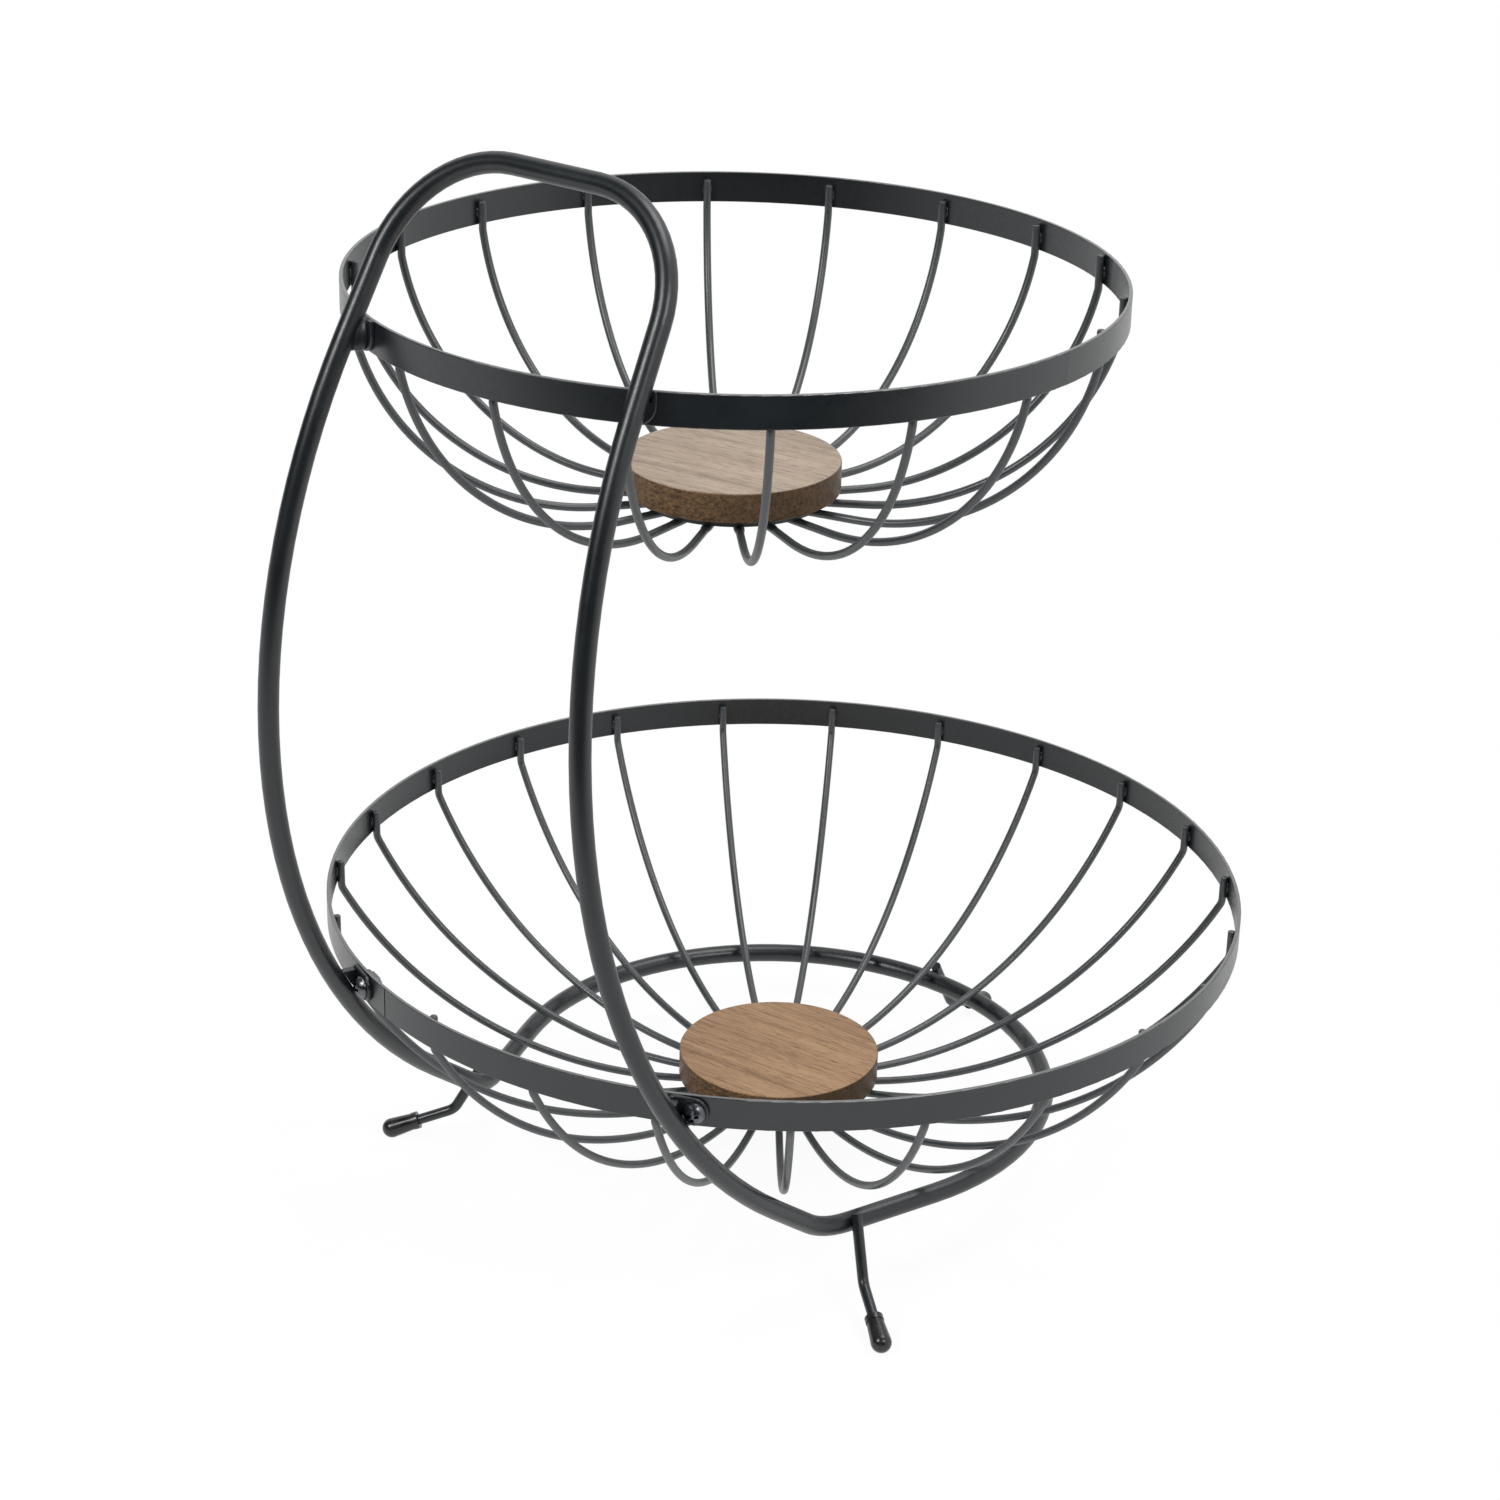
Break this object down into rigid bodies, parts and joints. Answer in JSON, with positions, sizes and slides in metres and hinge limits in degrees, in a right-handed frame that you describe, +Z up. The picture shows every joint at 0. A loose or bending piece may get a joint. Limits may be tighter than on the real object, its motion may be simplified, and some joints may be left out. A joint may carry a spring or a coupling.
{
  "type": "tiered wire basket",
  "caption": "Two-tier fruit basket: a bent rod with a handle carries a small wire bowl over a large one, each with a round wooden plate, on bent wire feet.",
  "frame": {"origin": "on the ground, under the axis of the lower bowl", "axes": "+Z up; the handle and its legs are on the -Y side; +X to the right seen from there"},
  "size_m": [0.3, 0.328, 0.3618],
  "materials": {
    "black_steel": "satin black powder coat",
    "stained_wood": "brown stain with fine straight grain",
    "screw_steel": "dark plated steel",
    "cap_plastic": "glossy black"
  },
  "bodies": {
    "root": {"disc_screws": "screw_steel", "foot_cap_left": "cap_plastic", "foot_cap_rear": "cap_plastic", "foot_cap_right": "cap_plastic", "foot_wire_left": "black_steel", "foot_wire_rear": "black_steel", "foot_wire_right": "black_steel", "frame_rod": "black_steel", "lower_disc": "stained_wood", "lower_hub": "black_steel", "lower_lugs": "black_steel", "lower_rib_01": "black_steel", "lower_rib_02": "black_steel", "lower_rib_03": "black_steel", "lower_rib_04": "black_steel", "lower_rib_05": "black_steel", "lower_rib_06": "black_steel", "lower_rib_07": "black_steel", "lower_rib_08": "black_steel", "lower_rib_09": "black_steel", "lower_rib_10": "black_steel", "lower_rib_11": "black_steel", "lower_rib_12": "black_steel", "lower_rib_13": "black_steel", "lower_rib_14": "black_steel", "lower_rib_15": "black_steel", "lower_rib_16": "black_steel", "lower_rib_17": "black_steel", "lower_rib_18": "black_steel", "lower_rib_19": "black_steel", "lower_rib_20": "black_steel", "lower_rib_21": "black_steel", "lower_rib_22": "black_steel", "lower_rib_23": "black_steel", "lower_rim": "black_steel", "rim_nuts": "screw_steel", "rim_screws": "screw_steel", "upper_disc": "stained_wood", "upper_hub": "black_steel", "upper_lugs": "black_steel", "upper_rib_01": "black_steel", "upper_rib_02": "black_steel", "upper_rib_03": "black_steel", "upper_rib_04": "black_steel", "upper_rib_05": "black_steel", "upper_rib_06": "black_steel", "upper_rib_07": "black_steel", "upper_rib_08": "black_steel", "upper_rib_09": "black_steel", "upper_rib_10": "black_steel", "upper_rib_11": "black_steel", "upper_rib_12": "black_steel", "upper_rib_13": "black_steel", "upper_rib_14": "black_steel", "upper_rib_15": "black_steel", "upper_rib_16": "black_steel", "upper_rib_17": "black_steel", "upper_rib_18": "black_steel", "upper_rim": "black_steel"}
  },
  "joints": []
}
